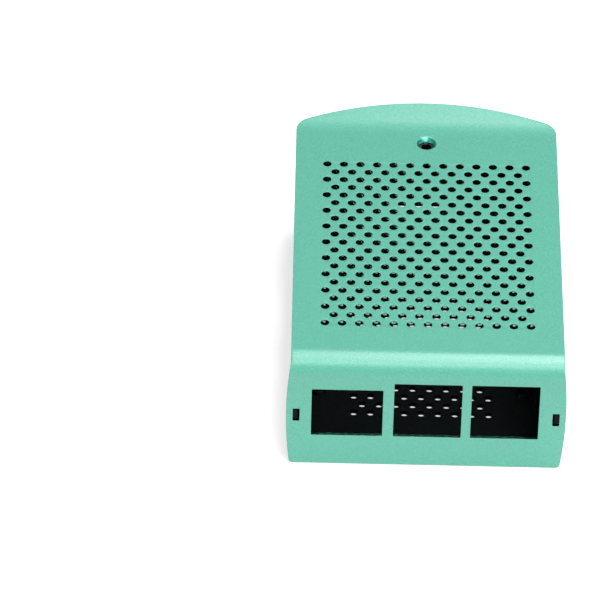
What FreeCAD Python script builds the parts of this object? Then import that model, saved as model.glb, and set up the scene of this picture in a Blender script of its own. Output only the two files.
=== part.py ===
import FreeCAD, Part
import math
import os
import re
import Sketcher

# Case for a credit-card-size board, 85 x 56 mm: a folded cover over a folded base.
# Lengths are in millimetres. +X is to the right, +Y to the rear and +Z up.
# Each piece is drawn with the outer plane of the front face at Y = 0 and the floor's
# underside at Z = 0. Its Placement then centres the case front to back.

doc = FreeCAD.newDocument("board_case")
V = FreeCAD.Vector


# Driving dimensions

DRIVING = [
    ("cover_sheet", 1.0, "thickness of the cover's sheet"),
    ("panel_width", 63.4, "width of the top panel"),
    ("case_height", 31.4, "top surface of the panel above the floor's underside"),
    ("front_bend", 4.4, "outer radius of the bend between face and panel"),
    ("face_belly", 0.9, "how far each side of the face bulges out past the panel"),
    ("belly_drop", 1.4, "panel's top surface down to where the bulge ends"),
    ("face_corner", 1.0, "radius of the face's bottom corners"),
    ("lip_inset", 2.7, "rear wall's outside forward to the start of the lip's bend"),
    ("lip_bend", 18.0, "radius of the lip's bend on the panel's top surface"),
    ("lip_tilt", 14.0, "how far the lip flares up, in degrees"),
    ("lip_reach", 5.9, "straight length of the lip on its centre line"),
    ("lip_arc", 80.0, "radius of the lip's rear edge, seen square on"),
    ("lip_corner", 3.8, "radius of the lip's two corners"),
    ("lan_width", 16.6, "width of the network port's window"),
    ("lan_height", 13.9, "height of the network port's window"),
    ("usb_width", 15.8, "width of each USB window"),
    ("usb_height", 16.0, "height of each USB window"),
    ("vent_size", 2.0, "diameter of every vent hole"),
    ("vent_sides", 6, "flat sides that stand for a round vent hole"),
    ("vent_pitch_across", 4.0, "vent holes, centre to centre in a row"),
    ("vent_pitch_along", 3.0, "vent rows, centre to centre"),
    ("top_vent_columns", 13, "holes in the top panel's longer rows"),
    ("top_vent_rows", 11, "longer rows in the top panel"),
    ("top_vent_front", 13.8, "front face to the top panel's first vent row"),
    ("screw_inset", 6.3, "rear wall's outside forward to the cover screw's axis"),
    ("screw_hole", 3.2, "clearance hole for the cover's M3 screw"),
    ("screw_sink", 4.8, "diameter of the countersink at the surface"),
    ("sink_angle", 90.0, "included angle of the countersinks, in degrees"),
    ("base_sheet", 1.2, "thickness of the base's sheet"),
    ("side_overhang", 0.65, "panel's side edges beyond the side walls"),
    ("rear_gap", 1.2, "board's rear edge to the inside of the rear wall"),
    ("base_bend", 2.0, "outer radius of the base's bends"),
    ("face_gap", 0.1, "gap between the face and the walls behind it"),
    ("panel_gap", 0.1, "gap between the panel and what lies under it"),
    ("corner_gap", 0.2, "side walls' bend line to the rear wall's end"),
    ("tab_height", 2.9, "height of the tabs that enter the face's slots"),
    ("tab_centre", 14.75, "height of the tabs' centre above the underside"),
    ("tab_recess", 0.4, "how far the tabs stop short of the face's outer plane"),
    ("tab_gap_inside", 0.4, "gap between a tab and its slot's inner edge"),
    ("tab_gap_outside", 0.1, "gap between a tab and its slot's outer edge"),
    ("tab_gap_along", 0.4, "gap above and below a tab in its slot"),
    ("floor_vent_columns", 9, "holes in the floor's longer rows"),
    ("floor_vent_rows", 8, "longer rows in the floor"),
    ("floor_vent_front", 17.1, "front face to the floor's first vent row"),
    ("board_length", 85.0, "length of the board that the case holds"),
    ("board_front", 1.5, "front face to the board's port edge"),
    ("board_offset", -0.65, "board's centre line from the case's, along X"),
    ("board_top", 8.7, "upper side of the board above the floor's underside"),
    ("board_hole", 2.05, "core diameter of the M2.5 threads that the spacers screw into"),
    ("collar_size", 4.0, "diameter of the collar drawn up round each of those threads"),
    ("collar_height", 0.9, "height of the collars above the floor"),
    ("hole_spacing_across", 49.0, "board holes, centre to centre across"),
    ("hole_spacing_along", 58.0, "board holes, centre to centre along"),
    ("hole_from_rear", 3.5, "board's rear edge to the nearer pair of its holes"),
    ("lan_from_centre", -17.75, "network port from the board's centre line"),
    ("usb_near_from_centre", 1.0, "nearer USB port from the board's centre line"),
    ("usb_far_from_centre", 19.0, "further USB port from the board's centre line"),
    ("power_from_rear", 10.6, "power socket from the board's rear edge"),
    ("power_width", 11.0, "width of the power socket's cut-out"),
    ("power_height", 6.4, "height of the power socket's cut-out"),
    ("video_from_rear", 32.0, "video socket from the board's rear edge"),
    ("video_width", 18.0, "width of the video socket's cut-out"),
    ("video_height", 8.6, "height of the video socket's cut-out"),
    ("side_sill", 7.4, "lower edge of the side cut-outs above the underside"),
    ("sound_from_rear", 53.5, "sound socket from the board's rear edge"),
    ("sound_hole", 8.0, "diameter of the sound socket's hole"),
    ("sound_rise", 3.0, "sound socket's axis above the board"),
    ("card_width", 12.0, "width of the memory card's slot"),
    ("card_height", 2.4, "height of the memory card's slot"),
    ("card_sill", 5.4, "lower edge of the card slot above the underside"),
    ("tongue_width", 18.0, "width of the tongue under the panel"),
    ("tongue_reach", 6.0, "how far the tongue runs forward of the screw"),
    ("wall_drop", 3.0, "rear wall's upper edge below the side walls' edges"),
    ("nut_head", 6.4, "diameter of the pressed nut's head"),
    ("nut_head_height", 2.0, "height of the pressed nut's head"),
    ("nut_shank", 4.2, "diameter of the nut's shank in the tongue"),
    ("nut_bore", 2.5, "core diameter of the nut's M3 thread"),
    ("nut_chamfer", 0.4, "chamfer round the nut's head"),
    ("nut_gap", 0.03, "gap round the nut's shank"),
]

# Sizes that follow from the driving ones, each written once here

DERIVED = [
    ("board_rear", "=board_front + board_length", "front face to the board's rear edge"),
    ("base_width", "=panel_width - 2 * side_overhang", "outside width over the side walls"),
    ("base_end", "=board_rear + rear_gap + base_sheet", "front face to the outside of the rear wall"),
    ("panel_end", "=base_end - lip_inset", "front face to the start of the lip's bend"),
    ("screw_from_face", "=base_end - screw_inset", "front face to the cover screw's axis"),
    ("belly_height", "=case_height - belly_drop", "height of the bulge, from the bottom edge up"),
    ("lip_root_along", "=panel_end + lip_bend * sin(lip_tilt * 1 deg)", "end of the lip's bend, from the face"),
    ("lip_root_height", "=case_height + lip_bend * (1 - cos(lip_tilt * 1 deg))", "end of the lip's bend, height"),
    ("case_depth",
     "=panel_end + (lip_bend + cover_sheet) * sin(lip_tilt * 1 deg) + lip_reach * cos(lip_tilt * 1 deg)",
     "front face to the lip's rearmost point"),
    ("wall_middle", "=(base_width - base_sheet) / 2", "side wall's middle plane from the centre"),
    ("slot_middle", "=wall_middle + (tab_gap_outside - tab_gap_inside) / 2",
     "middle of each tab's slot from the centre"),
    ("wall_top", "=case_height - cover_sheet - panel_gap", "upper edge of the side walls"),
    ("wall_front", "=cover_sheet + face_gap", "front edge of the side walls and floor"),
    ("window_sill", "=board_top", "lower edge of the three windows"),
    ("tongue_front", "=screw_from_face - tongue_reach", "front edge of the tongue"),
    ("rear_width", "=base_width - 2 * base_bend - 2 * corner_gap", "width of the rear wall"),
    ("board_hole_rear", "=board_rear - hole_from_rear", "front face to the rear pair of board holes"),
    ("tab_sill", "=tab_centre - tab_height / 2", "lower edge of the tabs"),
    ("tongue_under", "=wall_top - base_sheet", "underside of the tongue, where the nut's head seats"),
    ("belly_radius", "=(belly_height * belly_height / 4 + face_belly * face_belly) / (2 * face_belly)",
     "radius of the face's bulging sides"),
    ("trim_margin", "=face_belly + front_bend", "stock cut away beside the face and panel"),
    ("trim_height", "=case_height + lip_reach + lip_bend", "top of what is cut away beside them"),
    ("trim_lift", "=front_bend", "start of the lip's cut above the lip"),
]


def fill_sheet():
    """Write the driving and derived sizes into the spreadsheet, one alias a row."""
    sheet = doc.addObject("Spreadsheet::Sheet", "sizes")
    for row, (alias, value, words) in enumerate(DRIVING + DERIVED, start=1):
        sheet.set("A%d" % row, words)
        sheet.set("B%d" % row, str(value))
        sheet.setAlias("B%d" % row, alias)
    doc.recompute()
    return sheet


sizes = fill_sheet()
ALIASES = {row[0] for row in DRIVING + DERIVED}


def size(expression):
    """Value of an expression in the sheet's aliases, for a sketch's first geometry."""
    value = sizes.evalExpression(bound(expression))
    return float(getattr(value, "Value", value))


def bound(expression):
    """The expression with each alias written as the sheet's property."""
    def property_of(match):
        word = match.group(0)
        return "sizes." + word if word in ALIASES else word

    return re.sub(r"[a-z_]+", property_of, expression)


# Sketch helpers

def origin_feature(body, role):
    return next(item for item in body.Origin.OriginFeatures if item.Role == role)


def new_body(label):
    body = doc.addObject("PartDesign::Body", label)
    body.Label = label
    body.setExpression("Placement.Base.y", bound("-1 * case_depth / 2"))
    return body


def new_sketch(body, name, plane, shift="0"):
    """A sketch on one of the body's planes, moved along that plane's normal by shift."""
    sketch = body.newObject("Sketcher::SketchObject", name)
    sketch.AttachmentSupport = [(origin_feature(body, plane), "")]
    sketch.MapMode = "FlatFace"
    if shift != "0":
        sketch.setExpression("AttachmentOffset.Base.z", bound(shift))
    doc.recompute()
    return sketch


def tie(sketch, kind, *items):
    """Add a constraint whose last item is an expression, and bind it to the sheet."""
    expression = items[-1]
    value = size(expression)
    if kind == "Angle":
        value = math.radians(value)
    index = sketch.addConstraint(Sketcher.Constraint(kind, *items[:-1], value))
    sketch.setExpression("Constraints[%d]" % index, bound(expression))


def place(sketch, geometry, point, across, along):
    """Hold a point at a place given by two expressions, where 0 is the sketch's axis."""
    for kind, expression, axis in (("DistanceX", across, -2), ("DistanceY", along, -1)):
        if expression == "0":
            sketch.addConstraint(Sketcher.Constraint("PointOnObject", geometry, point, axis))
        else:
            tie(sketch, kind, -1, 1, geometry, point, expression)


def circle(sketch, across, along, diameter):
    centre = V(size(across), size(along), 0)
    geometry = sketch.addGeometry(Part.Circle(centre, V(0, 0, 1), size(diameter) / 2))
    place(sketch, geometry, 3, across, along)
    tie(sketch, "Diameter", geometry, diameter)


def rectangle(sketch, across, along, width, height):
    """A rectangle from its lower edge's middle, its width and its height."""
    left = "(%s) - (%s) / 2" % (across, width)
    x0, y0 = size(left), size(along)
    x1, y1 = x0 + size(width), y0 + size(height)
    corners = [V(x0, y0, 0), V(x1, y0, 0), V(x1, y1, 0), V(x0, y1, 0)]
    lines = [
        sketch.addGeometry(Part.LineSegment(corners[side], corners[(side + 1) % 4]))
        for side in range(4)
    ]
    for side in range(4):
        kind = "Horizontal" if side % 2 == 0 else "Vertical"
        sketch.addConstraint(Sketcher.Constraint(kind, lines[side]))
        sketch.addConstraint(Sketcher.Constraint("Coincident", lines[side], 2, lines[(side + 1) % 4], 1))
    place(sketch, lines[0], 1, left, along)
    tie(sketch, "DistanceX", lines[0], 1, lines[0], 2, width)
    tie(sketch, "DistanceY", lines[1], 1, lines[1], 2, height)


def pad(body, sketch, name, length, reverse=False, symmetric=False):
    feature = body.newObject("PartDesign::Pad", name)
    feature.Profile = sketch
    feature.Reversed = reverse
    feature.Midplane = symmetric
    feature.setExpression("Length", bound(length))
    doc.recompute()
    return feature


def pocket(body, sketch, name, depth="through"):
    """A cut against the sketch's normal, which has to take material away."""
    before = body.Tip.Shape.Volume
    feature = body.newObject("PartDesign::Pocket", name)
    feature.Profile = sketch
    feature.Refine = False
    if depth == "through":
        feature.Type = "ThroughAll"
    else:
        feature.setExpression("Length", bound(depth))
    doc.recompute()
    if not feature.Shape.Volume < before:
        raise RuntimeError(name + " cuts nothing")
    return feature


def vent_field(name, under, centre, front, columns, rows, sheet):
    """Staggered rows of vent holes as one tool, longer and shorter rows by turns.

    The real holes are round. They are cut with a few flat sides to keep the piece light.
    """
    hole = doc.addObject("Part::Prism", name + "_hole")
    left = "%s - (%s - 1) * vent_pitch_across / 2" % (centre, columns)
    for target, expression in (
        ("Polygon", "vent_sides"),
        ("Circumradius", "vent_size / 2 / cos(180 deg / vent_sides)"),
        ("Height", "3 * " + sheet),
        ("Placement.Base.x", left),
        ("Placement.Base.y", front + " - case_depth / 2"),
        ("Placement.Base.z", "%s - %s" % (under, sheet)),
    ):
        hole.setExpression(target, bound(expression))
    doc.recompute()
    across = size("vent_pitch_across")
    along = size("vent_pitch_along")
    holes = []
    for row in range(2 * round(size(rows)) - 1):
        shorter = row % 2
        for column in range(round(size(columns)) - shorter):
            move = V((column + shorter / 2) * across, row * along, 0)
            holes.append(hole.Shape.translated(move))
    field = doc.addObject("Part::Feature", name)
    field.Shape = Part.makeCompound(holes)
    return field


def perforated(label, body, field):
    """The folded sheet less its vent holes, under the piece's own name."""
    piece = doc.addObject("Part::Cut", label)
    piece.Label = label
    piece.Base = body
    piece.Tool = field
    piece.Refine = False
    doc.recompute()
    if not piece.Shape.Volume < body.Shape.Volume:
        raise RuntimeError(label + " has no vents")
    return piece


def countersunk(body, sketch, name, hole, sink):
    """Countersunk clearance holes at the sketch's circles, through the sheet."""
    before = body.Tip.Shape.Volume
    feature = body.newObject("PartDesign::Hole", name)
    feature.Profile = sketch
    doc.recompute()
    feature.Threaded = False
    feature.ThreadType = 0
    feature.setExpression("Diameter", bound(hole))
    feature.DepthType = "ThroughAll"
    feature.HoleCutType = "Countersink"
    feature.HoleCutCustomValues = True
    feature.setExpression("HoleCutDiameter", bound(sink))
    feature.setExpression("HoleCutCountersinkAngle", bound("sink_angle"))
    doc.recompute()
    if not feature.Shape.Volume < before:
        raise RuntimeError(name + " cuts nothing")
    return feature


def round_edges(body, name, radius, chosen):
    """Fillet the edges of the body's last feature that chosen picks."""
    base = body.Tip
    edges = ["Edge%d" % (n + 1) for n, edge in enumerate(base.Shape.Edges) if chosen(edge)]
    feature = body.newObject("PartDesign::Fillet", name)
    feature.Base = (base, edges)
    feature.setExpression("Radius", bound(radius))
    doc.recompute()
    return feature


# Cover: face, bend, panel and lip folded from one sheet

def cover_profile(body):
    """The folded sheet seen from the side, as a closed outline in Y and Z."""
    sketch = new_sketch(body, "cover_profile", "YZ_Plane")
    sheet = size("cover_sheet")
    top = size("case_height")
    bend = size("front_bend")
    lip = size("lip_bend")
    tilt = math.radians(size("lip_tilt"))
    reach = size("lip_reach")
    panel_end = size("panel_end")
    out = V(math.cos(tilt), math.sin(tilt), 0)
    under = V(math.sin(tilt), -math.cos(tilt), 0)
    up = V(0, 0, 1)
    front_centre = V(bend, top - bend, 0)
    lip_centre = V(panel_end, top + lip, 0)
    lip_root = lip_centre + under * lip
    lip_end = lip_root + out * reach
    low_root = lip_centre + under * (lip + sheet)
    low_end = low_root + out * reach

    def line(start, end):
        return sketch.addGeometry(Part.LineSegment(start, end))

    def arc(centre, radius, start, end):
        return sketch.addGeometry(Part.ArcOfCircle(Part.Circle(centre, up, radius), start, end))

    face = line(V(0, 0, 0), V(0, top - bend, 0))
    bend_outside = arc(front_centre, bend, math.pi / 2, math.pi)
    panel = line(V(bend, top, 0), V(panel_end, top, 0))
    lip_inside = arc(lip_centre, lip, 1.5 * math.pi, 1.5 * math.pi + tilt)
    lip_top = line(lip_root, lip_end)
    lip_edge = line(lip_end, low_end)
    lip_under = line(low_end, low_root)
    lip_outside = arc(lip_centre, lip + sheet, 1.5 * math.pi, 1.5 * math.pi + tilt)
    panel_under = line(V(panel_end, top - sheet, 0), V(bend, top - sheet, 0))
    bend_inside = arc(front_centre, bend - sheet, math.pi / 2, math.pi)
    face_inside = line(V(sheet, top - bend, 0), V(sheet, 0, 0))
    face_edge = line(V(sheet, 0, 0), V(0, 0, 0))

    def hold(kind, *items):
        sketch.addConstraint(Sketcher.Constraint(kind, *items))

    hold("Coincident", face, 1, -1, 1)
    hold("Vertical", face)
    hold("Tangent", face, 2, bend_outside, 2)
    hold("Tangent", bend_outside, 1, panel, 1)
    hold("Horizontal", panel)
    hold("Tangent", panel, 2, lip_inside, 1)
    hold("Tangent", lip_inside, 2, lip_top, 1)
    hold("Coincident", lip_top, 2, lip_edge, 1)
    hold("Perpendicular", lip_top, lip_edge)
    hold("Coincident", lip_edge, 2, lip_under, 1)
    hold("Parallel", lip_top, lip_under)
    hold("Tangent", lip_under, 2, lip_outside, 2)
    hold("Coincident", lip_outside, 3, lip_inside, 3)
    hold("Tangent", lip_outside, 1, panel_under, 1)
    hold("Horizontal", panel_under)
    hold("Tangent", panel_under, 2, bend_inside, 1)
    hold("Coincident", bend_inside, 3, bend_outside, 3)
    hold("Tangent", bend_inside, 2, face_inside, 1)
    hold("Coincident", face_inside, 2, face_edge, 1)
    hold("Coincident", face_edge, 2, face, 1)
    hold("Horizontal", face_edge)
    tie(sketch, "Radius", bend_outside, "front_bend")
    tie(sketch, "DistanceX", face_edge, 2, face_edge, 1, "cover_sheet")
    tie(sketch, "DistanceY", -1, 1, panel, 1, "case_height")
    tie(sketch, "DistanceX", -1, 1, panel, 2, "panel_end")
    tie(sketch, "Radius", lip_inside, "lip_bend")
    tie(sketch, "Distance", lip_top, 1, lip_top, 2, "lip_reach")
    tie(sketch, "Angle", panel, lip_top, "lip_tilt * 1 deg")
    return sketch


def trim_face(body):
    """Cut the face and panel to their width, with the face's sides bulging out."""
    sketch = new_sketch(body, "face_outline", "XZ_Plane")
    half = size("panel_width / 2")
    belly = size("face_belly")
    high = size("belly_height")
    margin = size("trim_margin")
    ceiling = size("trim_height")
    for side in (1, -1):
        inner_low = V(side * half, 0, 0)
        inner_high = V(side * half, high, 0)
        inner_top = V(side * half, ceiling, 0)
        outer_top = V(side * (half + margin), ceiling, 0)
        outer_low = V(side * (half + margin), 0, 0)
        middle = V(side * (half + belly), high / 2, 0)
        bulge = sketch.addGeometry(Part.Arc(inner_low, middle, inner_high))
        low, tall = (1, 2) if side > 0 else (2, 1)
        straight = sketch.addGeometry(Part.LineSegment(inner_high, inner_top))
        roof = sketch.addGeometry(Part.LineSegment(inner_top, outer_top))
        wall = sketch.addGeometry(Part.LineSegment(outer_top, outer_low))
        sill = sketch.addGeometry(Part.LineSegment(outer_low, inner_low))
        hold = [
            ("Coincident", bulge, tall, straight, 1),
            ("Coincident", straight, 2, roof, 1),
            ("Coincident", roof, 2, wall, 1),
            ("Coincident", wall, 2, sill, 1),
            ("Coincident", sill, 2, bulge, low),
            ("Vertical", straight),
            ("Horizontal", roof),
            ("Vertical", wall),
            ("Horizontal", sill),
            ("PointOnObject", bulge, low, -1),
        ]
        for items in hold:
            sketch.addConstraint(Sketcher.Constraint(*items))
        if side > 0:
            tie(sketch, "DistanceX", -1, 1, bulge, low, "panel_width / 2")
            tie(sketch, "DistanceX", sill, 2, sill, 1, "trim_margin")
        else:
            tie(sketch, "DistanceX", bulge, low, -1, 1, "panel_width / 2")
            tie(sketch, "DistanceX", sill, 1, sill, 2, "trim_margin")
        tie(sketch, "DistanceY", bulge, low, bulge, tall, "belly_height")
        tie(sketch, "DistanceY", -1, 1, roof, 1, "trim_height")
        tie(sketch, "Radius", bulge, "belly_radius")
    pocket(body, sketch, "face_trim")


def trim_lip(body):
    """Cut the lip's rear edge to its arc, square to the tilted sheet."""
    sketch = body.newObject("Sketcher::SketchObject", "lip_outline")
    sketch.AttachmentSupport = [(origin_feature(body, "XY_Plane"), "")]
    sketch.MapMode = "FlatFace"
    offset = "AttachmentOffset."
    sketch.setExpression(offset + "Rotation.Axis.x", "1")
    sketch.setExpression(offset + "Rotation.Axis.z", "0")
    sketch.setExpression(offset + "Rotation.Angle", bound("lip_tilt * 1 deg"))
    sketch.setExpression(
        offset + "Base.y", bound("lip_root_along - trim_lift * sin(lip_tilt * 1 deg)")
    )
    sketch.setExpression(
        offset + "Base.z", bound("lip_root_height + trim_lift * cos(lip_tilt * 1 deg)")
    )
    doc.recompute()
    radius = size("lip_arc")
    reach = size("lip_reach")
    half = size("panel_width / 2 + trim_lift")
    drop = reach - radius + math.sqrt(radius * radius - half * half)
    far = reach + size("lip_bend")
    edge = sketch.addGeometry(Part.Arc(V(half, drop, 0), V(0, reach, 0), V(-half, drop, 0)))
    left = sketch.addGeometry(Part.LineSegment(V(-half, drop, 0), V(-half, far, 0)))
    back = sketch.addGeometry(Part.LineSegment(V(-half, far, 0), V(half, far, 0)))
    right = sketch.addGeometry(Part.LineSegment(V(half, far, 0), V(half, drop, 0)))
    hold = [
        ("Coincident", edge, 2, left, 1),
        ("Coincident", left, 2, back, 1),
        ("Coincident", back, 2, right, 1),
        ("Coincident", right, 2, edge, 1),
        ("Vertical", left),
        ("Horizontal", back),
        ("Vertical", right),
        ("PointOnObject", edge, 3, -2),
    ]
    for items in hold:
        sketch.addConstraint(Sketcher.Constraint(*items))
    tie(sketch, "Radius", edge, "lip_arc")
    tie(sketch, "DistanceY", edge, 3, -1, 1, "lip_arc - lip_reach")
    tie(sketch, "DistanceX", back, 1, back, 2, "panel_width + 2 * trim_lift")
    tie(sketch, "DistanceY", -1, 1, back, 1, "lip_reach + lip_bend")
    pocket(body, sketch, "lip_trim")


def make_cover():
    body = new_body("cover_folded")
    pad(body, cover_profile(body), "cover_fold", "panel_width + 4 * face_belly", symmetric=True)
    trim_face(body)
    trim_lip(body)

    half = size("panel_width / 2")
    sheet = size("cover_sheet")
    middle_along = size("panel_end / 2")

    def lip_corner(edge):
        middle = edge.CenterOfMass
        across_sheet = abs(edge.Length - sheet) < 0.01
        return across_sheet and abs(abs(middle.x) - half) < 0.01 and middle.y > middle_along

    def face_corner(edge):
        middle = edge.CenterOfMass
        return abs(middle.z) < 0.01 and abs(abs(middle.x) - half) < 0.01

    round_edges(body, "lip_corners", "lip_corner", lip_corner)
    round_edges(body, "face_corners", "face_corner", face_corner)

    windows = new_sketch(body, "windows", "XZ_Plane")
    for place_across, width, height in (
        ("board_offset + lan_from_centre", "lan_width", "lan_height"),
        ("board_offset + usb_near_from_centre", "usb_width", "usb_height"),
        ("board_offset + usb_far_from_centre", "usb_width", "usb_height"),
    ):
        rectangle(windows, place_across, "window_sill", width, height)
    pocket(body, windows, "window_cut", "front_bend + cover_sheet")

    slots = new_sketch(body, "tab_slots", "XZ_Plane")
    for side in ("-1 * slot_middle", "slot_middle"):
        rectangle(
            slots,
            side,
            "tab_sill - tab_gap_along",
            "base_sheet + tab_gap_inside + tab_gap_outside",
            "tab_height + 2 * tab_gap_along",
        )
    pocket(body, slots, "slot_cut", "front_bend + cover_sheet")

    screw = new_sketch(body, "screw_place", "XY_Plane", "case_height")
    circle(screw, "0", "screw_from_face", "screw_hole")
    countersunk(body, screw, "screw_sink", "screw_hole", "screw_sink")

    vents = vent_field("top_vents", "case_height - cover_sheet", "0", "top_vent_front",
                       "top_vent_columns", "top_vent_rows", "cover_sheet")
    return perforated("cover", body, vents)


# Base: floor, side walls, rear wall and tongue folded from one sheet

def u_profile(body):
    """Floor and side walls seen from the front, as a closed outline in X and Z."""
    sketch = new_sketch(body, "base_profile", "XZ_Plane", "-1 * wall_front")
    sheet = size("base_sheet")
    half = size("base_width / 2")
    top = size("wall_top")
    bend = size("base_bend")
    up = V(0, 0, 1)

    def line(start, end):
        return sketch.addGeometry(Part.LineSegment(start, end))

    def arc(centre, radius, start, end):
        return sketch.addGeometry(Part.ArcOfCircle(Part.Circle(centre, up, radius), start, end))

    left_centre = V(bend - half, bend, 0)
    right_centre = V(half - bend, bend, 0)
    inner = bend - sheet
    floor = line(V(bend - half, 0, 0), V(half - bend, 0, 0))
    right_bend = arc(right_centre, bend, 1.5 * math.pi, 2 * math.pi)
    right_wall = line(V(half, bend, 0), V(half, top, 0))
    right_edge = line(V(half, top, 0), V(half - sheet, top, 0))
    right_inside = line(V(half - sheet, top, 0), V(half - sheet, bend, 0))
    right_hollow = arc(right_centre, inner, 1.5 * math.pi, 2 * math.pi)
    floor_inside = line(V(half - bend, sheet, 0), V(bend - half, sheet, 0))
    left_hollow = arc(left_centre, inner, math.pi, 1.5 * math.pi)
    left_inside = line(V(sheet - half, bend, 0), V(sheet - half, top, 0))
    left_edge = line(V(sheet - half, top, 0), V(-half, top, 0))
    left_wall = line(V(-half, top, 0), V(-half, bend, 0))
    left_bend = arc(left_centre, bend, math.pi, 1.5 * math.pi)
    hold = [
        ("Tangent", floor, 2, right_bend, 1),
        ("Tangent", right_bend, 2, right_wall, 1),
        ("Coincident", right_wall, 2, right_edge, 1),
        ("Coincident", right_edge, 2, right_inside, 1),
        ("Tangent", right_inside, 2, right_hollow, 2),
        ("Tangent", right_hollow, 1, floor_inside, 1),
        ("Tangent", floor_inside, 2, left_hollow, 2),
        ("Tangent", left_hollow, 1, left_inside, 1),
        ("Coincident", left_inside, 2, left_edge, 1),
        ("Coincident", left_edge, 2, left_wall, 1),
        ("Tangent", left_wall, 2, left_bend, 1),
        ("Tangent", left_bend, 2, floor, 1),
        ("Coincident", right_hollow, 3, right_bend, 3),
        ("Coincident", left_hollow, 3, left_bend, 3),
        ("Equal", left_bend, right_bend),
        ("Horizontal", right_edge),
        ("Horizontal", left_edge),
        ("Vertical", right_wall),
        ("Vertical", left_wall),
        ("Horizontal", floor),
        ("Vertical", right_inside),
        ("PointOnObject", floor, 1, -1),
        ("Symmetric", left_wall, 1, right_wall, 2, -2),
    ]
    for items in hold:
        sketch.addConstraint(Sketcher.Constraint(*items))
    tie(sketch, "Radius", right_bend, "base_bend")
    tie(sketch, "DistanceX", left_wall, 1, right_wall, 2, "base_width")
    tie(sketch, "DistanceY", -1, 1, right_wall, 2, "wall_top")
    tie(sketch, "DistanceX", right_edge, 2, right_edge, 1, "base_sheet")
    return sketch


def rear_fold(body, name, wall_top, tongue):
    """The rear wall seen from the side: floor, bend, wall and, if asked, the tongue."""
    sketch = new_sketch(body, name, "YZ_Plane")
    sheet = size("base_sheet")
    bend = size("base_bend")
    inner = bend - sheet
    end = size("base_end")
    root = size("base_end - base_bend - base_sheet")
    top = size(wall_top)
    up = V(0, 0, 1)

    def line(start, end_point):
        return sketch.addGeometry(Part.LineSegment(start, end_point))

    def arc(centre, radius, start, stop):
        return sketch.addGeometry(Part.ArcOfCircle(Part.Circle(centre, up, radius), start, stop))

    low_centre = V(end - bend, bend, 0)
    high_centre = V(end - bend, top - bend, 0)
    wall_end = top - bend if tongue else top
    floor = line(V(root, 0, 0), V(end - bend, 0, 0))
    low_bend = arc(low_centre, bend, 1.5 * math.pi, 2 * math.pi)
    wall = line(V(end, bend, 0), V(end, wall_end, 0))
    hold = [
        ("PointOnObject", floor, 1, -1),
        ("Horizontal", floor),
        ("Tangent", floor, 2, low_bend, 1),
        ("Tangent", low_bend, 2, wall, 1),
        ("Vertical", wall),
    ]
    if tongue:
        front = size("tongue_front")
        high_bend = arc(high_centre, bend, 0, math.pi / 2)
        tongue_top = line(V(end - bend, top, 0), V(front, top, 0))
        tongue_edge = line(V(front, top, 0), V(front, top - sheet, 0))
        tongue_under = line(V(front, top - sheet, 0), V(end - bend, top - sheet, 0))
        high_hollow = arc(high_centre, inner, 0, math.pi / 2)
        wall_inside = line(V(end - sheet, wall_end, 0), V(end - sheet, bend, 0))
        hold += [
            ("Tangent", wall, 2, high_bend, 1),
            ("Tangent", high_bend, 2, tongue_top, 1),
            ("Horizontal", tongue_top),
            ("Coincident", tongue_top, 2, tongue_edge, 1),
            ("Vertical", tongue_edge),
            ("Coincident", tongue_edge, 2, tongue_under, 1),
            ("Horizontal", tongue_under),
            ("Tangent", tongue_under, 2, high_hollow, 2),
            ("Tangent", high_hollow, 1, wall_inside, 1),
            ("Coincident", high_hollow, 3, high_bend, 3),
            ("Equal", high_bend, low_bend),
        ]
    else:
        wall_edge = line(V(end, top, 0), V(end - sheet, top, 0))
        wall_inside = line(V(end - sheet, top, 0), V(end - sheet, bend, 0))
        hold += [
            ("Coincident", wall, 2, wall_edge, 1),
            ("Horizontal", wall_edge),
            ("Coincident", wall_edge, 2, wall_inside, 1),
            ("Vertical", wall_inside),
        ]
    low_hollow = arc(low_centre, inner, 1.5 * math.pi, 2 * math.pi)
    floor_inside = line(V(end - bend, sheet, 0), V(root, sheet, 0))
    floor_edge = line(V(root, sheet, 0), V(root, 0, 0))
    hold += [
        ("Tangent", wall_inside, 2, low_hollow, 2),
        ("Coincident", low_hollow, 3, low_bend, 3),
        ("Tangent", low_hollow, 1, floor_inside, 1),
        ("Coincident", floor_inside, 2, floor_edge, 1),
        ("Vertical", floor_edge),
        ("Coincident", floor_edge, 2, floor, 1),
    ]
    for items in hold:
        sketch.addConstraint(Sketcher.Constraint(*items))
    tie(sketch, "Radius", low_bend, "base_bend")
    tie(sketch, "DistanceX", -1, 1, wall, 1, "base_end")
    tie(sketch, "DistanceX", -1, 1, floor, 1, "base_end - base_bend - base_sheet")
    tie(sketch, "DistanceY", floor_edge, 2, floor_edge, 1, "base_sheet")
    if tongue:
        tie(sketch, "DistanceY", -1, 1, tongue_top, 1, wall_top)
        tie(sketch, "DistanceX", -1, 1, tongue_edge, 1, "tongue_front")
    else:
        tie(sketch, "DistanceY", -1, 1, wall_edge, 1, wall_top)
    return sketch


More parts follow.
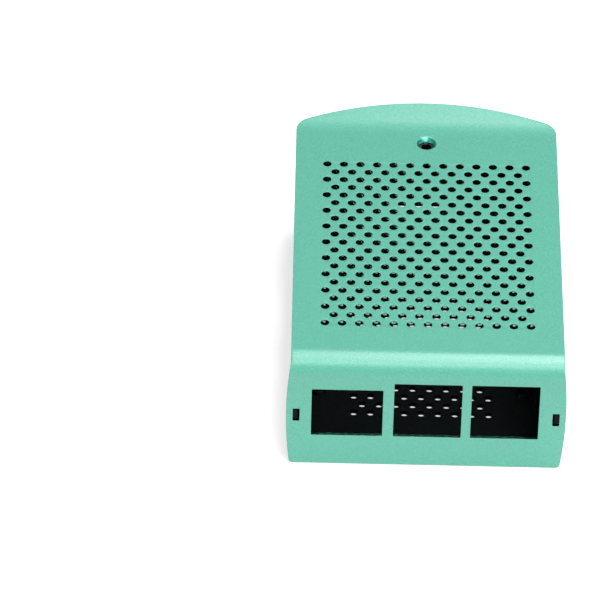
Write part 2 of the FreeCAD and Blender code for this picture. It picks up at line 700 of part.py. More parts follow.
def make_base():
    body = new_body("base_folded")
    pad(body, u_profile(body), "base_fold", "base_end - wall_front", reverse=True)

    relief = new_sketch(body, "rear_relief", "XY_Plane", "base_bend")
    rectangle(relief, "0", "base_end - base_bend", "base_width + 2 * base_sheet", "base_bend * 2")
    pocket(body, relief, "rear_relief_cut", "base_bend * 2")

    wall = rear_fold(body, "rear_profile", "wall_top - wall_drop", False)
    pad(body, wall, "rear_wall", "rear_width", symmetric=True)
    tongue = rear_fold(body, "tongue_profile", "wall_top", True)
    pad(body, tongue, "tongue", "tongue_width", symmetric=True)

    tabs = new_sketch(body, "tabs", "XZ_Plane", "-1 * (wall_front + base_sheet)")
    for side in ("-1 * wall_middle", "wall_middle"):
        rectangle(tabs, side, "tab_sill", "base_sheet", "tab_height")
    pad(body, tabs, "front_tabs", "wall_front + base_sheet - tab_recess")

    front = size("wall_front")
    top = size("wall_top")

    def wall_corner(edge):
        middle = edge.CenterOfMass
        return abs(middle.y - front) < 0.01 and abs(middle.z - top) < 0.01

    round_edges(body, "wall_corners", "front_bend", wall_corner)

    seat = new_sketch(body, "nut_place", "XY_Plane", "wall_top")
    circle(seat, "0", "screw_from_face", "nut_shank + 2 * nut_gap")
    pocket(body, seat, "nut_seat", "base_sheet * 2")

    sockets = new_sketch(body, "side_sockets", "YZ_Plane", "base_sheet * 2 - base_width / 2")
    rectangle(sockets, "board_rear - power_from_rear", "side_sill", "power_width", "power_height")
    rectangle(sockets, "board_rear - video_from_rear", "side_sill", "video_width", "video_height")
    circle(sockets, "board_rear - sound_from_rear", "board_top + sound_rise", "sound_hole")
    pocket(body, sockets, "socket_cut", "base_sheet * 3")

    card = new_sketch(body, "card_slot", "XZ_Plane", "2 * base_sheet - base_end")
    rectangle(card, "board_offset", "card_sill", "card_width", "card_height")
    pocket(body, card, "card_cut", "base_sheet * 3")

    collars = new_sketch(body, "collar_places", "XY_Plane", "base_sheet / 2")
    threads = new_sketch(body, "thread_places", "XY_Plane", "base_sheet + collar_height")
    for side in ("board_offset - hole_spacing_across / 2", "board_offset + hole_spacing_across / 2"):
        for along in ("board_hole_rear - hole_spacing_along", "board_hole_rear"):
            circle(collars, side, along, "collar_size")
            circle(threads, side, along, "board_hole")
    pad(body, collars, "collars", "base_sheet / 2 + collar_height")
    pocket(body, threads, "threads")

    vents = vent_field("floor_vents", "0", "board_offset", "floor_vent_front",
                       "floor_vent_columns", "floor_vent_rows", "base_sheet")
    return perforated("base", body, vents)


# Nut pressed into the tongue from below, with its shank flush with the tongue's top

def make_nut():
    body = new_body("cover_nut")
    sketch = new_sketch(body, "nut_profile", "XZ_Plane", "-1 * screw_from_face")
    bore = size("nut_bore / 2")
    head = size("nut_head / 2")
    shank = size("nut_shank / 2")
    chamfer = size("nut_chamfer")
    seat = size("tongue_under")
    low = size("tongue_under - nut_head_height")
    high = size("wall_top")
    corners = [
        V(bore, low, 0),
        V(head - chamfer, low, 0),
        V(head, low + chamfer, 0),
        V(head, seat, 0),
        V(shank, seat, 0),
        V(shank, high, 0),
        V(bore, high, 0),
    ]
    count = len(corners)
    lines = []
    for number in range(count):
        line = Part.LineSegment(corners[number], corners[(number + 1) % count])
        lines.append(sketch.addGeometry(line))
    under, rim, shoulder, neck, end, wall = (lines[number] for number in (0, 2, 3, 4, 5, 6))
    for number in range(count):
        after = lines[(number + 1) % count]
        sketch.addConstraint(Sketcher.Constraint("Coincident", lines[number], 2, after, 1))
    for line in (under, shoulder, end):
        sketch.addConstraint(Sketcher.Constraint("Horizontal", line))
    for line in (rim, neck, wall):
        sketch.addConstraint(Sketcher.Constraint("Vertical", line))
    tie(sketch, "DistanceX", -1, 1, under, 1, "nut_bore / 2")
    tie(sketch, "DistanceX", -1, 1, rim, 1, "nut_head / 2")
    tie(sketch, "DistanceX", -1, 1, neck, 1, "nut_shank / 2")
    tie(sketch, "DistanceX", under, 2, rim, 1, "nut_chamfer")
    tie(sketch, "DistanceY", under, 2, rim, 1, "nut_chamfer")
    tie(sketch, "DistanceY", -1, 1, under, 1, "tongue_under - nut_head_height")
    tie(sketch, "DistanceY", -1, 1, shoulder, 1, "tongue_under")
    tie(sketch, "DistanceY", -1, 1, end, 1, "wall_top")
    turned = body.newObject("PartDesign::Revolution", "nut_turned")
    turned.Profile = sketch
    turned.ReferenceAxis = (sketch, ["V_Axis"])
    turned.Angle = 360
    doc.recompute()
    return body


# Build, check and write each piece

pieces = [make_base(), make_cover(), make_nut()]
doc.recompute()

for item in doc.Objects:
    if "Invalid" in item.State or "Error" in item.State:
        raise RuntimeError("%s failed: %s" % (item.Name, item.State))

os.makedirs("parts", exist_ok=True)
for piece in pieces:
    shape = piece.Shape
    if shape.isNull() or not shape.isValid() or len(shape.Solids) != 1:
        raise RuntimeError("%s is not one valid solid" % piece.Label)
    shape.exportStep("parts/%s.step" % piece.Label)
    box = shape.BoundBox
    corners = (box.XMin, box.YMin, box.ZMin, box.XMax, box.YMax, box.ZMax)
    print("%-10s volume %9.2f  box %s" % (piece.Label, shape.Volume, [round(c, 2) for c in corners]))
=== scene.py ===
import math

import bmesh
import bpy
from mathutils import Matrix, Vector
from mathutils.geometry import delaunay_2d_cdt


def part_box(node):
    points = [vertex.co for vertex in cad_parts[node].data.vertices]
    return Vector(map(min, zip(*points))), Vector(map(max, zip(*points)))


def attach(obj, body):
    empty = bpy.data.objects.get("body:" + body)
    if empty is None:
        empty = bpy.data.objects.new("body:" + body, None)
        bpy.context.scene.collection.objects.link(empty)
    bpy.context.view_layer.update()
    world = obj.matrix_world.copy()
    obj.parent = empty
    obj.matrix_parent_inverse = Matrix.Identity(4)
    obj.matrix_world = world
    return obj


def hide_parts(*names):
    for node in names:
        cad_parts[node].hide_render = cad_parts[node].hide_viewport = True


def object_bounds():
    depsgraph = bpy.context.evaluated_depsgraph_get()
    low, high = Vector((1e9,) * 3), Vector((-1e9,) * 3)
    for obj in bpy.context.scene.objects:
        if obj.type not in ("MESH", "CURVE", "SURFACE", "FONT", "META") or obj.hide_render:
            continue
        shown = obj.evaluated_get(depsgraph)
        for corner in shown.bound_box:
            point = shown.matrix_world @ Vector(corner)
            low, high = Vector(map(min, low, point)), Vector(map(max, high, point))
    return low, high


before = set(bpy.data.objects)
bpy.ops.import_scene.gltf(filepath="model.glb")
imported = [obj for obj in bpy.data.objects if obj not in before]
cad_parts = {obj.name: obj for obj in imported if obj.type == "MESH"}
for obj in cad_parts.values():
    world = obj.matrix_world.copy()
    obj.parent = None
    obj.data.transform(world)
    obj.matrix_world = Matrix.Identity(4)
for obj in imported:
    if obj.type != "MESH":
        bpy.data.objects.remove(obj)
cad_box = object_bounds()

MM = 0.001

# Sizes of the two folded sheets, in millimetres. They are those of the part's own table, but
# for the vents' radii and the gap at a tab's outside, which are matched to the photograph.

COVER_SHEET = 1.0
BASE_SHEET = 1.2
PANEL_HALF = 31.7
CASE_HEIGHT = 31.4
FRONT_BEND = 4.4
FACE_BELLY = 0.9
BELLY_HEIGHT = 30.0
FACE_CORNER = 1.0
PANEL_END = 86.2
LIP_BEND = 18.0
LIP_TILT = math.radians(14.0)
LIP_REACH = 5.9
LIP_ARC = 80.0
LIP_CORNER = 3.8
BOARD_OFFSET = -0.65
WINDOW_SILL = 8.7
WINDOWS = ((-17.75, 16.6, 13.9), (1.0, 15.8, 16.0), (19.0, 15.8, 16.0))
FACE_HOLE_CORNER = 0.2
SCREW_ALONG = 82.6
SCREW_HOLE = 1.6
SCREW_SINK = 2.4
TOP_VENT_RADIUS = 1.02
FLOOR_VENT_RADIUS = 0.96
VENT_ACROSS = 4.0
VENT_ALONG = 3.0
TOP_VENTS = (13, 11, 13.8)
FLOOR_VENTS = (9, 8, 17.1)
SIDE_OVERHANG = 0.65
BASE_HALF = PANEL_HALF - SIDE_OVERHANG
BASE_BEND = 2.0
WALL_FRONT = 1.1
WALL_TOP = 30.3
BASE_END = 88.9
REAR_HALF = 28.85
REAR_TOP = 27.3
TONGUE_HALF = 9.0
TONGUE_FRONT = 76.6
TAB_LOW = 13.3
TAB_HIGH = 16.2
TAB_FRONT = 0.4
TAB_GAP_INSIDE = 0.4
TAB_GAP_OUTSIDE = 0.01
TAB_GAP_ALONG = 0.4
SEAT_RADIUS = 2.13
BOARD_HOLE = 1.025
COLLAR_RADIUS = 2.0
COLLAR_HEIGHT = 0.9
BOARD_HOLES_ACROSS = 24.5
BOARD_HOLES_ALONG = (25.0, 83.0)
SIDE_SILL = 7.4
SIDE_SOCKETS = ((75.9, 11.0, 6.4), (54.5, 18.0, 8.6))
SOUND_PLACE = (33.0, 11.7, 4.0)
CARD_SLOT = (12.0, 2.4, 5.4)
WALL_HOLE_CORNER = 0.3

# Where the cover's face starts, how far edges are broken and how finely curves are divided

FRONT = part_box("cover")[0].y / MM
EDGE_RADIUS = 0.18
HOLE_EDGE = 0.1
VENT_EDGE = 0.04
SEAT_EDGE = 0.03
VENT_SEGMENTS = 24
HOLE_SEGMENTS = 36
WIDE_HOLE_SEGMENTS = 48
FRONT_BEND_STEPS = 14
LIP_BEND_STEPS = 6
BASE_BEND_STEPS = 8
QUARTER = math.pi / 2
SHARP_ANGLE = math.radians(50)
SAME_PLACE = 1e-5

# Places of the materials on a sheet: its faces, its cut edges and its countersink

FACES, CUT, SINK = range(3)


# Flat patterns: loops of points, each with the section of its cut edge

def edge_section(sheet, radius=EDGE_RADIUS):
    """Offset into the sheet and depth, from the outer surface to the inner one."""
    near = radius * (1 - math.sin(math.pi / 4))
    return [
        (radius, 0.0),
        (near, near),
        (0.0, radius),
        (0.0, sheet - radius),
        (near, sheet - near),
        (radius, sheet),
    ]


def sink_section(sheet, sink, hole):
    """A countersink's section, with its two rims just broken."""
    rim = 0.05
    turned = rim * 0.3
    cone = sink - hole
    return [
        (cone + rim, 0.0),
        (cone - turned, rim),
        (turned, cone - rim),
        (0.0, cone + rim),
        (0.0, sheet - rim),
        (rim, sheet),
    ]


def collar_section(sheet, hole, outside, height):
    """A threaded hole's section, up inside the collar and down its outside."""
    rim = 0.1
    wall = outside - hole
    top = sheet + height
    return [
        (rim, 0.0),
        (0.0, rim),
        (0.0, top - rim),
        (rim, top),
        (wall - rim, top),
        (wall, top - rim),
        (wall, sheet + rim),
        (wall + rim, sheet),
    ]


def ring(across, along, radius, segments):
    """A round hole's loop, with the sheet on its outside."""
    points = []
    for number in range(segments):
        turn = -2 * math.pi * number / segments
        points.append(Vector((across + radius * math.cos(turn), along + radius * math.sin(turn))))
    return points


def slot_loop(across, low, width, height, corner, steps=4):
    """A rectangular hole's loop with small corner radii, the sheet on its outside."""
    x0 = across - width / 2 + corner
    x1 = across + width / 2 - corner
    y0 = low + corner
    y1 = low + height - corner
    points = []
    for centre, start in (((x1, y1), 0), ((x0, y1), 1), ((x0, y0), 2), ((x1, y0), 3)):
        for step in range(steps + 1):
            turn = (start + step / steps) * QUARTER
            points.append(
                Vector((centre[0] + corner * math.cos(turn), centre[1] + corner * math.sin(turn)))
            )
    points.reverse()
    return points


def inward(points):
    """For each point of a loop, the mitred direction into the sheet on its left."""
    directions = []
    for number, point in enumerate(points):
        before = (point - points[number - 1]).normalized()
        after = (points[(number + 1) % len(points)] - point).normalized()
        left_before = Vector((-before.y, before.x))
        left_after = Vector((-after.y, after.x))
        directions.append((left_before + left_after) / (1 + left_before.dot(left_after)))
    return directions


def vent_loops(columns, rows, front, centre, radius):
    """Round holes in staggered rows, where each second row has one hole less."""
    loops = []
    for row in range(2 * rows - 1):
        shorter = row % 2
        count = columns - shorter
        for column in range(count):
            across = centre + (column - (count - 1) / 2) * VENT_ACROSS
            along = front + row * VENT_ALONG
            loops.append(ring(across, along, radius, VENT_SEGMENTS))
    return loops


def cap(rims, level):
    """Triangles over the sheet's flat at one end of the cut edges' sections."""
    flat = []
    loops = []
    for points, directions, section in rims:
        loops.append(list(range(len(flat), len(flat) + len(points))))
        flat += [point + turn * section[level][0] for point, turn in zip(points, directions)]
    with_holes = 2
    _, _, faces, origins, _, _ = delaunay_2d_cdt(flat, [], loops, with_holes, SAME_PLACE)
    source = [ids[0] for ids in origins]
    return [[source[corner] for corner in corners] for corners in faces]


def folded_sheet(name, loops, creases, fold):
    """A solid sheet from its flat pattern: capped, cut along its creases and folded.

    The first loop is the outline, anticlockwise, and the others are holes, clockwise.
    The first bands of a section keep the finish of the sheet's faces, the others have that
    of the cut, and a countersink has its own.
    """
    rim_bands = 2
    widest_rounding = 0.5
    rims = [(points, inward(points), section) for points, section in loops]
    sheet = bmesh.new()
    outer = []
    inner = []
    for points, directions, section in rims:
        rings = []
        for offset, depth in section:
            down = Vector((0, 0, -depth))
            places = [(point + turn * offset).to_3d() + down for point, turn in zip(points, directions)]
            rings.append([sheet.verts.new(place) for place in places])
        for band, (upper, lower) in enumerate(zip(rings, rings[1:])):
            sinks = section[band][0] - section[band + 1][0] > widest_rounding
            finish = FACES if band < rim_bands else CUT
            if sinks:
                finish = SINK
            for number in range(len(points)):
                before = number - 1
                wall = sheet.faces.new((upper[before], lower[before], lower[number], upper[number]))
                wall.material_index = finish
        outer += rings[0]
        inner += rings[-1]
    for corners in cap(rims, 0):
        sheet.faces.new([outer[corner] for corner in corners])
    for corners in cap(rims, -1):
        sheet.faces.new([inner[corner] for corner in reversed(corners)])

    for normal, distance in creases:
        bmesh.ops.bisect_plane(
            sheet,
            geom=sheet.verts[:] + sheet.edges[:] + sheet.faces[:],
            dist=SAME_PLACE,
            plane_co=Vector(normal) * distance,
            plane_no=normal,
        )
    for vertex in sheet.verts:
        vertex.co = Vector(fold(vertex.co.x, vertex.co.y, -vertex.co.z)) * MM
    bmesh.ops.recalc_face_normals(sheet, faces=sheet.faces)
    return finished(name, sheet)


def finished(name, work):
    """The mesh as an object, smooth but for its corners, with its flats kept flat."""
    mesh = bpy.data.meshes.new(name)
    work.to_mesh(mesh)
    work.free()
    mesh.shade_smooth()
    mesh.set_sharp_from_angle(angle=SHARP_ANGLE)
    piece = bpy.data.objects.new(name, mesh)
    bpy.context.scene.collection.objects.link(piece)
    weighted = piece.modifiers.new("flats", "WEIGHTED_NORMAL")
    weighted.keep_sharp = True
    weighted.weight = 100
    return piece


def bend_creases(normal, start, length, steps, margin=0.12):
    """Lines across a bend, with one just outside each end to hold the flats."""
    places = [start - margin, start + length + margin]
    places += [start + length * step / steps for step in range(steps + 1)]
    return [(normal, place) for place in places]


# Cover: face, bend, panel and lip

FACE_TOP = CASE_HEIGHT - FRONT_BEND
BEND_LENGTH = FRONT_BEND * QUARTER
PANEL_START = FACE_TOP + BEND_LENGTH
PANEL_STOP = PANEL_START + PANEL_END - FRONT_BEND
LIP_START = PANEL_STOP + LIP_BEND * LIP_TILT


def fold_cover(across, along, depth):
    """From the flat pattern, where along starts at the face's lower edge."""
    if along <= FACE_TOP:
        return across, FRONT + depth, along
    if along <= PANEL_START:
        turn = (along - FACE_TOP) / FRONT_BEND
        radius = FRONT_BEND - depth
        rise = FACE_TOP + radius * math.sin(turn)
        return across, FRONT + FRONT_BEND - radius * math.cos(turn), rise
    if along <= PANEL_STOP:
        return across, FRONT + FRONT_BEND + along - PANEL_START, CASE_HEIGHT - depth
    beyond = along - PANEL_STOP
    turn = min(beyond / LIP_BEND, LIP_TILT)
    rest = beyond - turn * LIP_BEND
    radius = LIP_BEND + depth
    run = FRONT + PANEL_END + radius * math.sin(turn) + rest * math.cos(turn)
    rise = CASE_HEIGHT + LIP_BEND - radius * math.cos(turn) + rest * math.sin(turn)
    return across, run, rise


def cover_half_width(along):
    """Half the sheet's width: the face's sides bulge, the panel's are straight."""
    height = along
    if along > FACE_TOP:
        turn = min((along - FACE_TOP) / FRONT_BEND, QUARTER)
        height = FACE_TOP + FRONT_BEND * math.sin(turn)
    if height >= BELLY_HEIGHT:
        return PANEL_HALF
    half_chord = BELLY_HEIGHT / 2
    radius = (half_chord * half_chord + FACE_BELLY * FACE_BELLY) / (2 * FACE_BELLY)
    off_middle = height - half_chord
    return PANEL_HALF + math.sqrt(radius * radius - off_middle * off_middle) - radius + FACE_BELLY


def cover_outline():
    """The right side from the face's corner to the middle of the lip, then its mirror image."""
    right = []
    corner = FACE_CORNER
    low_side = cover_half_width(corner)
    corner_steps = 6
    for step in range(corner_steps + 1):
        turn = -QUARTER + QUARTER * step / corner_steps
        right.append((low_side - corner + corner * math.cos(turn), corner + corner * math.sin(turn)))
    side_steps = 44
    for step in range(1, side_steps + 1):
        along = corner + (PANEL_START - corner) * step / side_steps
        right.append((cover_half_width(along), along))
    arc_centre = LIP_START + LIP_REACH - LIP_ARC
    inner_radius = LIP_ARC - LIP_CORNER
    corner_across = PANEL_HALF - LIP_CORNER
    corner_along = arc_centre + math.sqrt(inner_radius ** 2 - corner_across ** 2)
    lean = math.asin(corner_across / inner_radius)
    lip_corner_steps = 10
    for step in range(lip_corner_steps + 1):
        turn = (QUARTER - lean) * step / lip_corner_steps
        right.append(
            (corner_across + LIP_CORNER * math.cos(turn), corner_along + LIP_CORNER * math.sin(turn))
        )
    arc_steps = 40
    for step in range(1, arc_steps + 1):
        turn = lean * (1 - step / arc_steps)
        right.append((LIP_ARC * math.sin(turn), arc_centre + LIP_ARC * math.cos(turn)))
    left = [(-across, along) for across, along in reversed(right[:-1])]
    return [Vector(point) for point in right + left]


def make_cover():
    loops = [(cover_outline(), edge_section(COVER_SHEET))]
    for place, width, height in WINDOWS:
        loop = slot_loop(BOARD_OFFSET + place, WINDOW_SILL, width, height, FACE_HOLE_CORNER)
        loops.append((loop, edge_section(COVER_SHEET, HOLE_EDGE)))
    width = BASE_SHEET + TAB_GAP_INSIDE + TAB_GAP_OUTSIDE
    height = TAB_HIGH - TAB_LOW + 2 * TAB_GAP_ALONG
    place = BASE_HALF + TAB_GAP_OUTSIDE - width / 2
    for across in (-place, place):
        loop = slot_loop(across, TAB_LOW - TAB_GAP_ALONG, width, height, FACE_HOLE_CORNER)
        loops.append((loop, edge_section(COVER_SHEET, HOLE_EDGE)))
    to_panel = PANEL_START - FRONT_BEND
    screw = ring(0, SCREW_ALONG + to_panel, SCREW_HOLE, WIDE_HOLE_SEGMENTS)
    loops.append((screw, sink_section(COVER_SHEET, SCREW_SINK, SCREW_HOLE)))
    columns, rows, front = TOP_VENTS
    vent_edge = edge_section(COVER_SHEET, VENT_EDGE)
    for loop in vent_loops(columns, rows, front + to_panel, 0, TOP_VENT_RADIUS):
        loops.append((loop, vent_edge))
    creases = bend_creases((0, 1, 0), FACE_TOP, BEND_LENGTH, FRONT_BEND_STEPS)
    creases += bend_creases((0, 1, 0), PANEL_STOP, LIP_BEND * LIP_TILT, LIP_BEND_STEPS)
    return folded_sheet("cover_sheet", loops, creases, fold_cover)


# Base: floor, side walls, rear wall and tongue

FLOOR_HALF = BASE_HALF - BASE_BEND
FLOOR_END = BASE_END - BASE_BEND
BASE_BEND_LENGTH = BASE_BEND * QUARTER
TONGUE_BEND_START = FLOOR_END + BASE_BEND_LENGTH + WALL_TOP - 2 * BASE_BEND


def turned_up(over, depth):
    """Run and rise of a flap that starts with an upward bend of 90 degrees."""
    turn = min(over / BASE_BEND, QUARTER)
    rest = over - turn * BASE_BEND
    radius = BASE_BEND - depth
    run = radius * math.sin(turn) + rest * math.cos(turn)
    rise = BASE_BEND - radius * math.cos(turn) + rest * math.sin(turn)
    return run, rise


def fold_base(across, along, depth):
    """From the flat pattern, where along starts at the cover's face."""
    over_side = abs(across) - FLOOR_HALF
    if over_side > 0:
        run, rise = turned_up(over_side, depth)
        return math.copysign(FLOOR_HALF + run, across), FRONT + along, rise
    over_rear = along - FLOOR_END
    if over_rear <= 0:
        return across, FRONT + along, depth
    over_tongue = along - TONGUE_BEND_START
    if over_tongue <= 0:
        run, rise = turned_up(over_rear, depth)
        return across, FRONT + FLOOR_END + run, rise
    run, rise = turned_up(over_tongue, depth)
    wall = BASE_END - rise
    return across, FRONT + wall, WALL_TOP - BASE_BEND + run


def on_wall(height):
    """Where a height on a side wall lies in the flat pattern, from the centre line."""
    return FLOOR_HALF + BASE_BEND_LENGTH + height - BASE_BEND


def base_outline():
    """Wall with its tab, rear wall and tongue on the right, then their mirror image."""
    tongue_stop = TONGUE_BEND_START + BASE_BEND_LENGTH + FLOOR_END - TONGUE_FRONT
    wall_stop = FLOOR_END + BASE_BEND_LENGTH + REAR_TOP - BASE_BEND
    right = [
        (on_wall(TAB_LOW), WALL_FRONT),
        (on_wall(TAB_LOW), TAB_FRONT),
        (on_wall(TAB_HIGH), TAB_FRONT),
        (on_wall(TAB_HIGH), WALL_FRONT),
    ]
    top = on_wall(WALL_TOP)
    corner_steps = 12
    for step in range(corner_steps + 1):
        turn = -QUARTER + QUARTER * step / corner_steps
        across = top - FRONT_BEND + FRONT_BEND * math.cos(turn)
        right.append((across, WALL_FRONT + FRONT_BEND + FRONT_BEND * math.sin(turn)))
    right += [
        (top, FLOOR_END),
        (REAR_HALF, FLOOR_END),
        (REAR_HALF, wall_stop),
        (TONGUE_HALF, wall_stop),
        (TONGUE_HALF, tongue_stop),
    ]
    left = [(-across, along) for across, along in reversed(right)]
    return [Vector(point) for point in right + left]


def make_base():
    hole_edge = edge_section(BASE_SHEET, HOLE_EDGE)
    vent_edge = edge_section(BASE_SHEET, VENT_EDGE)
    loops = [(base_outline(), edge_section(BASE_SHEET))]
    for along, width, height in SIDE_SOCKETS:
        middle = -on_wall(SIDE_SILL + height / 2)
        loop = slot_loop(middle, along - width / 2, height, width, WALL_HOLE_CORNER)
        loops.append((loop, hole_edge))
    along, rise, radius = SOUND_PLACE
    loops.append((ring(-on_wall(rise), along, radius, WIDE_HOLE_SEGMENTS), hole_edge))
    width, height, sill = CARD_SLOT
    low = FLOOR_END + BASE_BEND_LENGTH + sill - BASE_BEND
    loops.append((slot_loop(BOARD_OFFSET, low, width, height, WALL_HOLE_CORNER), hole_edge))
    collar = collar_section(BASE_SHEET, BOARD_HOLE, COLLAR_RADIUS, COLLAR_HEIGHT)
    for side in (-1, 1):
        for along in BOARD_HOLES_ALONG:
            across = BOARD_OFFSET + side * BOARD_HOLES_ACROSS
            loops.append((ring(across, along, BOARD_HOLE, HOLE_SEGMENTS), collar))
    seat = TONGUE_BEND_START + BASE_BEND_LENGTH + FLOOR_END - SCREW_ALONG
    loops.append((ring(0, seat, SEAT_RADIUS, HOLE_SEGMENTS), edge_section(BASE_SHEET, SEAT_EDGE)))
    columns, rows, front = FLOOR_VENTS
    for loop in vent_loops(columns, rows, front, BOARD_OFFSET, FLOOR_VENT_RADIUS):
        loops.append((loop, vent_edge))
    creases = []
    for normal, start in (
        ((0, 1, 0), FLOOR_END),
        ((0, 1, 0), TONGUE_BEND_START),
        ((1, 0, 0), FLOOR_HALF),
        ((-1, 0, 0), FLOOR_HALF),
    ):
        creases += bend_creases(normal, start, BASE_BEND_LENGTH, BASE_BEND_STEPS)
    return folded_sheet("base_sheet", loops, creases, fold_base)


# Materials, with the two values between which nearly all of a noise lies

NOISE_LOW = 0.3
NOISE_HIGH = 0.7


def shader(name):
    material = bpy.data.materials.new(name)
    material.use_nodes = True
    nodes = material.node_tree.nodes
    return material, nodes, material.node_tree.links, nodes["Principled BSDF"]


def noise(nodes, links, size, detail=2.0, roughness=0.5):
    """Noise in the piece's own coordinates, with grains of about the given size in mm."""
    place = nodes.new("ShaderNodeTexCoord")
    texture = nodes.new("ShaderNodeTexNoise")
    texture.inputs["Scale"].default_value = 1 / (size * MM)
    texture.inputs["Detail"].default_value = detail
    texture.inputs["Roughness"].default_value = roughness
    links.new(place.outputs["Object"], texture.inputs["Vector"])
    return texture


def ramp(nodes, links, source, low, low_colour, high, high_colour):
    """Blends from one colour to the other as the source goes from low to high."""
    scale = nodes.new("ShaderNodeValToRGB")
    first, last = scale.color_ramp.elements
    first.position = low
    first.color = low_colour
    last.position = high
    last.color = high_colour
    links.new(source, scale.inputs["Fac"])
    return scale


def level(nodes, links, source, low, high):
    """Spreads a noise over a value from low to high."""
    spread = nodes.new("ShaderNodeMapRange")
    spread.inputs["From Min"].default_value = NOISE_LOW
    spread.inputs["From Max"].default_value = NOISE_HIGH
    spread.inputs["To Min"].default_value = low
    spread.inputs["To Max"].default_value = high
    links.new(source, spread.inputs["Value"])
    return spread


def blasted_finish(name, dark, light, metallic, rough, grain, depth):
    """Anodised sheet with the fine sparkling grain that blasting leaves."""
    patch_size = 18.0
    patch_change = 0.02
    grain_height = grain * 0.7
    material, nodes, links, surface = shader(name)
    fine = noise(nodes, links, grain, detail=3.0, roughness=0.6)
    broad = noise(nodes, links, patch_size)
    tone = ramp(nodes, links, fine.outputs["Fac"], NOISE_LOW, dark, NOISE_HIGH, light)
    links.new(tone.outputs["Color"], surface.inputs["Base Color"])
    low = rough - patch_change
    high = rough + patch_change
    spread = level(nodes, links, broad.outputs["Fac"], low, high)
    links.new(spread.outputs["Result"], surface.inputs["Roughness"])
    bump = nodes.new("ShaderNodeBump")
    bump.inputs["Strength"].default_value = depth
    bump.inputs["Distance"].default_value = grain_height * MM
    links.new(fine.outputs["Fac"], bump.inputs["Height"])
    links.new(bump.outputs["Normal"], surface.inputs["Normal"])
    surface.inputs["Metallic"].default_value = metallic
    return material, surface


def cut_finish(name, colour, rough):
    """The anodised cut edge, smoother than the blasted flats, which mirrors dark and light."""
    streak_size = 0.5
    streak_change = 0.04
    material, nodes, links, surface = shader(name)
    streaks = noise(nodes, links, streak_size)
    low = rough - streak_change
    high = rough + streak_change
    spread = level(nodes, links, streaks.outputs["Fac"], low, high)
    links.new(spread.outputs["Result"], surface.inputs["Roughness"])
    surface.inputs["Base Color"].default_value = colour
    surface.inputs["Metallic"].default_value = 1.0
    return material


def green_finish():
    material, surface = blasted_finish(
        "green_anodised",
        dark=(0.078, 0.330, 0.246, 1),
        light=(0.096, 0.400, 0.298, 1),
        metallic=0.05,
        rough=0.34,
        grain=0.45,
        depth=1.0,
    )
    surface.inputs["Coat Weight"].default_value = 1.0
    surface.inputs["Coat Roughness"].default_value = 0.33
    surface.inputs["Coat IOR"].default_value = 1.62
    surface.inputs["Specular IOR Level"].default_value = 0.05
    return material


def black_finish():
    material, surface = blasted_finish(
        "black_anodised",
        dark=(0.003, 0.004, 0.005, 1),
        light=(0.006, 0.007, 0.008, 1),
        metallic=0.0,
        rough=0.45,
        grain=0.34,
        depth=0.4,
    )
    surface.inputs["Specular IOR Level"].default_value = 0.15
    return material


# Zinc plate painted dark: its grey of 0.14 to 0.2 is a painted shade for the hole under the cover's
# screw, where plain zinc plate would be a lighter grey.
def shaded_nut_finish():
    dark = (0.14, 0.14, 0.15, 1)
    light = (0.2, 0.2, 0.2, 1)
    patch_size = 0.6
    smoothest = 0.25
    roughest = 0.4
    material, nodes, links, surface = shader("zinc_plate_painted_dark")
    patches = noise(nodes, links, patch_size, detail=3.0)
    tone = ramp(nodes, links, patches.outputs["Fac"], NOISE_LOW, dark, NOISE_HIGH, light)
    links.new(tone.outputs["Color"], surface.inputs["Base Color"])
    spread = level(nodes, links, patches.outputs["Fac"], smoothest, roughest)
    links.new(spread.outputs["Result"], surface.inputs["Roughness"])
    surface.inputs["Metallic"].default_value = 1.0
    return material


GREEN = green_finish()
GREEN_CUT = cut_finish("green_cut", colour=(0.22, 0.46, 0.38, 1), rough=0.09)
GREEN_SINK = cut_finish("green_sink", colour=(0.09, 0.5, 0.38, 1), rough=0.36)
BLACK = black_finish()
BLACK_CUT = cut_finish("black_cut", colour=(0.012, 0.012, 0.014, 1), rough=0.4)
ZINC_PAINTED_DARK = shaded_nut_finish()


def dress(piece, *materials):
    """Gives the piece its materials; a new sheet's faces already know which is theirs."""
    if piece.data.materials:
        piece.data.materials.clear()
    for material in materials:
        piece.data.materials.append(material)


cover = make_cover()
dress(cover, GREEN, GREEN_CUT, GREEN_SINK)
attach(cover, "case_cover")
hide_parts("cover")

base = make_base()
dress(base, BLACK, BLACK_CUT)
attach(base, "case_base")
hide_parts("base")

# The nut under the cover's screw takes the zinc painted dark, a painted shade.
dress(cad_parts["cover_nut"], ZINC_PAINTED_DARK)


# Floor, light and camera

def white_where_seen(nodes, links, surface, glow):
    """Lifts the floor's shading towards white, for the camera alone."""
    path = nodes.new("ShaderNodeLightPath")
    strength = nodes.new("ShaderNodeMath")
    strength.operation = "MULTIPLY"
    strength.inputs[1].default_value = glow
    links.new(path.outputs["Is Camera Ray"], strength.inputs[0])
    surface.inputs["Emission Color"].default_value = (1, 1, 1, 1)
    links.new(strength.outputs[0], surface.inputs["Emission Strength"])
    return path


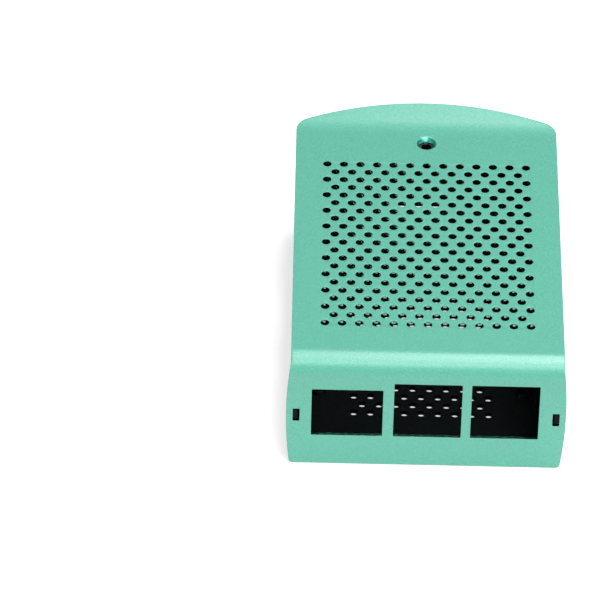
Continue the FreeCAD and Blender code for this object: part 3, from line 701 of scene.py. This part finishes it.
def far_floor_painted_shade(nodes, links, surface, path, near, far):
    """Paints the floor dark from near to far in front of the case, for all rays but the camera's: a
    painted shade, which the case mirrors as a dark band.
    """
    pale = (0.65, 0.65, 0.65, 1)
    dark = (0.1, 0.1, 0.1, 1)
    place = nodes.new("ShaderNodeTexCoord")
    parts = nodes.new("ShaderNodeSeparateXYZ")
    links.new(place.outputs["Object"], parts.inputs["Vector"])
    fade = nodes.new("ShaderNodeMapRange")
    fade.inputs["From Min"].default_value = (FRONT - far) * MM
    fade.inputs["From Max"].default_value = (FRONT - near) * MM
    links.new(parts.outputs["Y"], fade.inputs["Value"])
    white = nodes.new("ShaderNodeMath")
    white.operation = "MAXIMUM"
    links.new(fade.outputs["Result"], white.inputs[0])
    links.new(path.outputs["Is Camera Ray"], white.inputs[1])
    colour = ramp(nodes, links, white.outputs[0], 0, dark, 1, pale)
    links.new(colour.outputs["Color"], surface.inputs["Base Color"])


def make_floor():
    half_side = 3.0
    below = 0.2 * MM
    work = bmesh.new()
    bmesh.ops.create_grid(work, x_segments=1, y_segments=1, size=half_side)
    mesh = bpy.data.meshes.new("floor")
    work.to_mesh(mesh)
    work.free()
    floor = bpy.data.objects.new("floor", mesh)
    bpy.context.scene.collection.objects.link(floor)
    material, nodes, links, surface = shader("white_floor")
    surface.inputs["Roughness"].default_value = 0.9
    surface.inputs["Specular IOR Level"].default_value = 0.1
    path = white_where_seen(nodes, links, surface, glow=0.6)
    # Painted shade on the floor from 50 to 95 mm in front, seen only in what the case mirrors and in
    # bounced light.
    far_floor_painted_shade(nodes, links, surface, path, near=50, far=95)
    dress(floor, material)
    floor.location.z = cad_box[0].z - below


def make_world():
    world = bpy.data.worlds.new("studio")
    bpy.context.scene.world = world
    world.use_nodes = True
    nodes = world.node_tree.nodes
    links = world.node_tree.links
    room = nodes["Background"]
    room.inputs["Color"].default_value = (1, 1, 1, 1)
    room.inputs["Strength"].default_value = 0.3
    backdrop = nodes.new("ShaderNodeBackground")
    backdrop.inputs["Color"].default_value = (1, 1, 1, 1)
    backdrop.inputs["Strength"].default_value = 1.0
    path = nodes.new("ShaderNodeLightPath")
    mix = nodes.new("ShaderNodeMixShader")
    links.new(path.outputs["Is Camera Ray"], mix.inputs["Fac"])
    links.new(room.outputs[0], mix.inputs[1])
    links.new(backdrop.outputs[0], mix.inputs[2])
    links.new(mix.outputs[0], nodes["World Output"].inputs["Surface"])


def soft_box(name, place, target, width, height, power):
    lamp = bpy.data.lights.new(name, "AREA")
    lamp.shape = "RECTANGLE"
    lamp.size = width
    lamp.size_y = height
    lamp.energy = power
    box = bpy.data.objects.new(name, lamp)
    box.location = place
    box.rotation_euler = (Vector(target) - Vector(place)).to_track_quat("-Z", "Y").to_euler()
    bpy.context.scene.collection.objects.link(box)


def make_camera():
    """Placed where the photograph's lines of the case meet their known sizes."""
    rise = math.radians(39.5)
    tilt = math.radians(1.24)
    distance = 1216.0
    aside = -29.9
    above = 38.11
    focal_pixels = 5185
    picture_pixels = 600
    lens = bpy.data.cameras.new("camera")
    lens.sensor_width = 36.0
    lens.lens = focal_pixels / picture_pixels * lens.sensor_width
    camera = bpy.data.objects.new("camera", lens)
    along = FRONT + above * math.sin(rise) - distance * math.cos(rise)
    height = above * math.cos(rise) + distance * math.sin(rise)
    place = Matrix.Translation(Vector((aside, along, height)) * MM)
    turn = Matrix.Rotation(QUARTER - rise, 4, "X") @ Matrix.Rotation(tilt, 4, "Z")
    camera.matrix_world = place @ turn
    bpy.context.scene.collection.objects.link(camera)
    bpy.context.scene.camera = camera


make_floor()
make_world()
soft_box("overhead", place=(0.22, -0.04, 0.95), target=(0.22, -0.04, 0), width=0.42, height=1.0, power=12)
soft_box("front", place=(0.1, -0.62, 0.6), target=(0, 0, 0), width=0.5, height=0.36, power=2.5)
for name, side in (("side_left", -1), ("side_right", 1)):
    soft_box(name, place=(side * 0.75, -0.6, 0.12), target=(0, 0, 0), width=0.4, height=0.2, power=5)
make_camera()
bpy.context.scene.view_settings.view_transform = "Standard"
